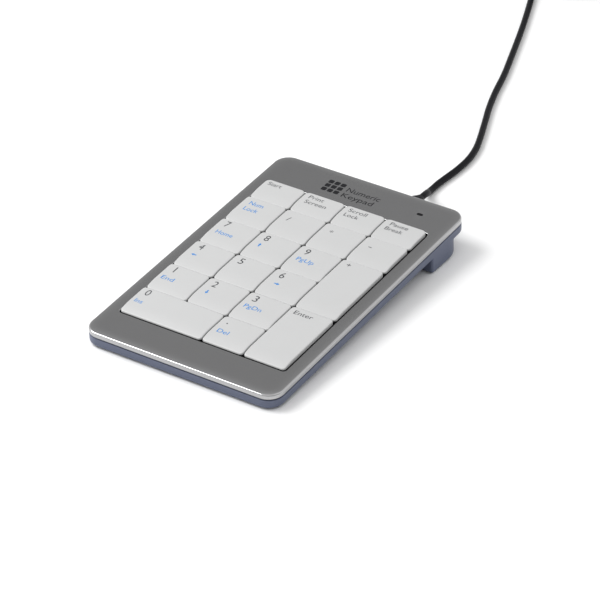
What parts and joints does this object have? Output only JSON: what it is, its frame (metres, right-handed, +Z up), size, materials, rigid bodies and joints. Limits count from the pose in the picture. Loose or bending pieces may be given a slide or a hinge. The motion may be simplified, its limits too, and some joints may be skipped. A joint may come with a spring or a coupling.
{
  "type": "numeric keypad",
  "caption": "Low wired numeric keypad with scissor keys in a two-shell case, leaning forward on a rear block, with a USB cable and plug.",
  "frame": {"origin": "on the table, at the centre of the keypad's footprint box, cable left out", "axes": "+X to the user's right, +Y to the rear, where the cable leaves, +Z up"},
  "size_m": [0.095, 0.4025, 0.0151],
  "materials": {
    "bezel": "silver-grey metallic paint, fine flake, satin",
    "shell": "blue-grey moulded plastic, fine grain",
    "key_cap": "white moulded plastic, faint orange peel, printed legends",
    "legend_dark": "dark grey pad-printed ink",
    "legend_blue": "blue pad-printed ink",
    "steel_plate": "black zinc-plated sheet steel",
    "film": "smoked polyester film",
    "dome_rubber": "translucent silicone",
    "scissor_plastic": "black acetal",
    "wire": "spring steel wire",
    "board": "green solder mask",
    "chips": "black moulding compound",
    "light_pipe": "smoked clear plastic, unlit",
    "screws": "zinc-plated steel",
    "foot_rubber": "matte black rubber",
    "cable_jacket": "black soft PVC, satin",
    "plug_grip": "black soft PVC overmould",
    "plug_metal": "nickel-plated steel"
  },
  "bodies": {
    "keypad": {"top_case": "bezel", "bottom_case": "shell", "base_plate": "steel_plate", "membrane": "film", "rubber_domes": "dome_rubber", "controller_board": "board", "board_parts": "chips", "status_light": "light_pipe", "case_screws": "screws", "rubber_feet": "foot_rubber", "strain_relief": "cable_jacket", "usb_cable": "cable_jacket", "cable_coil": "cable_jacket", "plug_body": "plug_grip", "plug_shell": "plug_metal", "scissor_0": "scissor_plastic", "scissor_dot": "scissor_plastic", "scissor_enter": "scissor_plastic", "scissor_1": "scissor_plastic", "scissor_2": "scissor_plastic", "scissor_3": "scissor_plastic", "scissor_4": "scissor_plastic", "scissor_5": "scissor_plastic", "scissor_6": "scissor_plastic", "scissor_plus": "scissor_plastic", "scissor_7": "scissor_plastic", "scissor_8": "scissor_plastic", "scissor_9": "scissor_plastic", "scissor_num_lock": "scissor_plastic", "scissor_divide": "scissor_plastic", "scissor_multiply": "scissor_plastic", "scissor_minus": "scissor_plastic", "scissor_start": "scissor_plastic", "scissor_print_screen": "scissor_plastic", "scissor_scroll_lock": "scissor_plastic", "scissor_pause": "scissor_plastic"},
    "key_0": {"key_0": "key_cap"},
    "key_dot": {"key_dot": "key_cap"},
    "key_enter": {"key_enter": "key_cap"},
    "key_1": {"key_1": "key_cap"},
    "key_2": {"key_2": "key_cap"},
    "key_3": {"key_3": "key_cap"},
    "key_4": {"key_4": "key_cap"},
    "key_5": {"key_5": "key_cap"},
    "key_6": {"key_6": "key_cap"},
    "key_plus": {"key_plus": "key_cap"},
    "key_7": {"key_7": "key_cap"},
    "key_8": {"key_8": "key_cap"},
    "key_9": {"key_9": "key_cap"},
    "key_num_lock": {"key_num_lock": "key_cap"},
    "key_divide": {"key_divide": "key_cap"},
    "key_multiply": {"key_multiply": "key_cap"},
    "key_minus": {"key_minus": "key_cap"},
    "key_start": {"key_start": "key_cap"},
    "key_print_screen": {"key_print_screen": "key_cap"},
    "key_scroll_lock": {"key_scroll_lock": "key_cap"},
    "key_pause": {"key_pause": "key_cap"},
    "stabiliser_0": {"stabiliser_0": "wire"},
    "stabiliser_enter": {"stabiliser_enter": "wire"},
    "stabiliser_plus": {"stabiliser_plus": "wire"}
  },
  "joints": [
    {"name": "key_0_press", "type": "slide", "parent": "keypad", "child": "key_0", "axis": [0, 0.0558, -0.9984], "range_m": [0, 0.0019], "stiffness_N_per_m": 200, "springref_m": -0.0012, "deforming": ["scissor_0", "rubber_domes"]},
    {"name": "key_dot_press", "type": "slide", "parent": "keypad", "child": "key_dot", "axis": [0, 0.0558, -0.9984], "range_m": [0, 0.0019], "stiffness_N_per_m": 200, "springref_m": -0.0012, "deforming": ["scissor_dot", "rubber_domes"]},
    {"name": "key_enter_press", "type": "slide", "parent": "keypad", "child": "key_enter", "axis": [0, 0.0558, -0.9984], "range_m": [0, 0.0019], "stiffness_N_per_m": 200, "springref_m": -0.0012, "deforming": ["scissor_enter", "rubber_domes"]},
    {"name": "key_1_press", "type": "slide", "parent": "keypad", "child": "key_1", "axis": [0, 0.0558, -0.9984], "range_m": [0, 0.0019], "stiffness_N_per_m": 200, "springref_m": -0.0012, "deforming": ["scissor_1", "rubber_domes"]},
    {"name": "key_2_press", "type": "slide", "parent": "keypad", "child": "key_2", "axis": [0, 0.0558, -0.9984], "range_m": [0, 0.0019], "stiffness_N_per_m": 200, "springref_m": -0.0012, "deforming": ["scissor_2", "rubber_domes"]},
    {"name": "key_3_press", "type": "slide", "parent": "keypad", "child": "key_3", "axis": [0, 0.0558, -0.9984], "range_m": [0, 0.0019], "stiffness_N_per_m": 200, "springref_m": -0.0012, "deforming": ["scissor_3", "rubber_domes"]},
    {"name": "key_4_press", "type": "slide", "parent": "keypad", "child": "key_4", "axis": [0, 0.0558, -0.9984], "range_m": [0, 0.0019], "stiffness_N_per_m": 200, "springref_m": -0.0012, "deforming": ["scissor_4", "rubber_domes"]},
    {"name": "key_5_press", "type": "slide", "parent": "keypad", "child": "key_5", "axis": [0, 0.0558, -0.9984], "range_m": [0, 0.0019], "stiffness_N_per_m": 200, "springref_m": -0.0012, "deforming": ["scissor_5", "rubber_domes"]},
    {"name": "key_6_press", "type": "slide", "parent": "keypad", "child": "key_6", "axis": [0, 0.0558, -0.9984], "range_m": [0, 0.0019], "stiffness_N_per_m": 200, "springref_m": -0.0012, "deforming": ["scissor_6", "rubber_domes"]},
    {"name": "key_plus_press", "type": "slide", "parent": "keypad", "child": "key_plus", "axis": [0, 0.0558, -0.9984], "range_m": [0, 0.0019], "stiffness_N_per_m": 200, "springref_m": -0.0012, "deforming": ["scissor_plus", "rubber_domes"]},
    {"name": "key_7_press", "type": "slide", "parent": "keypad", "child": "key_7", "axis": [0, 0.0558, -0.9984], "range_m": [0, 0.0019], "stiffness_N_per_m": 200, "springref_m": -0.0012, "deforming": ["scissor_7", "rubber_domes"]},
    {"name": "key_8_press", "type": "slide", "parent": "keypad", "child": "key_8", "axis": [0, 0.0558, -0.9984], "range_m": [0, 0.0019], "stiffness_N_per_m": 200, "springref_m": -0.0012, "deforming": ["scissor_8", "rubber_domes"]},
    {"name": "key_9_press", "type": "slide", "parent": "keypad", "child": "key_9", "axis": [0, 0.0558, -0.9984], "range_m": [0, 0.0019], "stiffness_N_per_m": 200, "springref_m": -0.0012, "deforming": ["scissor_9", "rubber_domes"]},
    {"name": "key_num_lock_press", "type": "slide", "parent": "keypad", "child": "key_num_lock", "axis": [0, 0.0558, -0.9984], "range_m": [0, 0.0019], "stiffness_N_per_m": 200, "springref_m": -0.0012, "deforming": ["scissor_num_lock", "rubber_domes"]},
    {"name": "key_divide_press", "type": "slide", "parent": "keypad", "child": "key_divide", "axis": [0, 0.0558, -0.9984], "range_m": [0, 0.0019], "stiffness_N_per_m": 200, "springref_m": -0.0012, "deforming": ["scissor_divide", "rubber_domes"]},
    {"name": "key_multiply_press", "type": "slide", "parent": "keypad", "child": "key_multiply", "axis": [0, 0.0558, -0.9984], "range_m": [0, 0.0019], "stiffness_N_per_m": 200, "springref_m": -0.0012, "deforming": ["scissor_multiply", "rubber_domes"]},
    {"name": "key_minus_press", "type": "slide", "parent": "keypad", "child": "key_minus", "axis": [0, 0.0558, -0.9984], "range_m": [0, 0.0019], "stiffness_N_per_m": 200, "springref_m": -0.0012, "deforming": ["scissor_minus", "rubber_domes"]},
    {"name": "key_start_press", "type": "slide", "parent": "keypad", "child": "key_start", "axis": [0, 0.0558, -0.9984], "range_m": [0, 0.0019], "stiffness_N_per_m": 200, "springref_m": -0.0012, "deforming": ["scissor_start", "rubber_domes"]},
    {"name": "key_print_screen_press", "type": "slide", "parent": "keypad", "child": "key_print_screen", "axis": [0, 0.0558, -0.9984], "range_m": [0, 0.0019], "stiffness_N_per_m": 200, "springref_m": -0.0012, "deforming": ["scissor_print_screen", "rubber_domes"]},
    {"name": "key_scroll_lock_press", "type": "slide", "parent": "keypad", "child": "key_scroll_lock", "axis": [0, 0.0558, -0.9984], "range_m": [0, 0.0019], "stiffness_N_per_m": 200, "springref_m": -0.0012, "deforming": ["scissor_scroll_lock", "rubber_domes"]},
    {"name": "key_pause_press", "type": "slide", "parent": "keypad", "child": "key_pause", "axis": [0, 0.0558, -0.9984], "range_m": [0, 0.0019], "stiffness_N_per_m": 200, "springref_m": -0.0012, "deforming": ["scissor_pause", "rubber_domes"]},
    {"name": "stabiliser_0_turn", "type": "hinge", "parent": "keypad", "child": "stabiliser_0", "pos_m": [-0.019, -0.04655, 0.00515], "axis": [-1, 0, 0], "range_deg": [0, 15]},
    {"name": "stabiliser_enter_turn", "type": "hinge", "parent": "keypad", "child": "stabiliser_enter", "pos_m": [0.029, -0.03692, 0.00568], "axis": [0, -0.9984, -0.0558], "range_deg": [0, 15]},
    {"name": "stabiliser_plus_turn", "type": "hinge", "parent": "keypad", "child": "stabiliser_plus", "pos_m": [0.029, -0.00067, 0.00771], "axis": [0, -0.9984, -0.0558], "range_deg": [0, 15]}
  ],
  "couplings": [
    {"joint": "stabiliser_0_turn", "follows": "key_0_press", "rad_per_m": 135.9},
    {"joint": "stabiliser_enter_turn", "follows": "key_enter_press", "rad_per_m": 135.9},
    {"joint": "stabiliser_plus_turn", "follows": "key_plus_press", "rad_per_m": 135.9}
  ]
}
